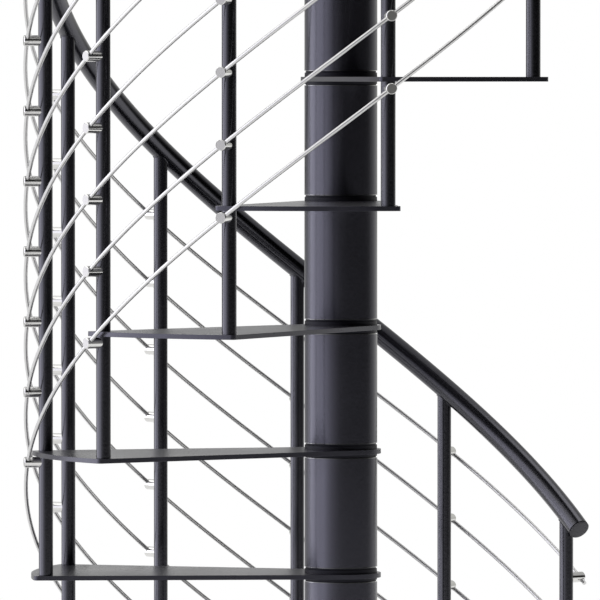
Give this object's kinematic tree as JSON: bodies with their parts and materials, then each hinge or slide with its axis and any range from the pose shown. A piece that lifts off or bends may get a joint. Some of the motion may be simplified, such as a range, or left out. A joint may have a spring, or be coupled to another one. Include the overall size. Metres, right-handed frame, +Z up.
{
  "type": "spiral staircase",
  "caption": "Steel spiral stair with fan-shaped plate treads round a central column, a tubular helical handrail on upright posts and slender stainless rods held in clips.",
  "frame": {"origin": "on the floor, at the column's axis", "axes": "+Z up along the column; the stair climbs anticlockwise seen from above, and its first post stands at a bearing of 40 degrees from +X towards +Y"},
  "size_m": [1.1134, 1.1131, 3.7227],
  "materials": {
    "column_coat": "satin, dark anthracite powder coat",
    "tread_coat": "satin, dark anthracite powder coat",
    "post_coat": "satin, dark anthracite powder coat",
    "rail_coat": "satin, dark anthracite powder coat",
    "stainless": "drawn and turned stainless steel"
  },
  "bodies": {
    "root": {"foot_plate": "column_coat", "column_sleeves": "column_coat", "top_cap": "column_coat", "tread_01": "tread_coat", "tread_02": "tread_coat", "tread_03": "tread_coat", "tread_04": "tread_coat", "tread_05": "tread_coat", "tread_06": "tread_coat", "tread_07": "tread_coat", "tread_08": "tread_coat", "tread_09": "tread_coat", "tread_10": "tread_coat", "tread_11": "tread_coat", "landing_plate": "tread_coat", "landing_flange": "tread_coat", "post_00": "post_coat", "post_01": "post_coat", "post_02": "post_coat", "post_03": "post_coat", "post_04": "post_coat", "post_05": "post_coat", "post_06": "post_coat", "post_07": "post_coat", "post_08": "post_coat", "post_09": "post_coat", "post_10": "post_coat", "post_11": "post_coat", "post_12": "post_coat", "post_13": "post_coat", "handrail": "rail_coat", "handrail_plugs": "rail_coat", "rod_1": "stainless", "rod_2": "stainless", "rod_3": "stainless", "rod_4": "stainless", "rod_5": "stainless", "rod_6": "stainless", "rod_7": "stainless", "rod_8": "stainless", "rod_clips_1_2": "stainless", "rod_clips_3_4": "stainless", "rod_clips_5_6": "stainless", "rod_clips_7_8": "stainless"}
  },
  "joints": []
}
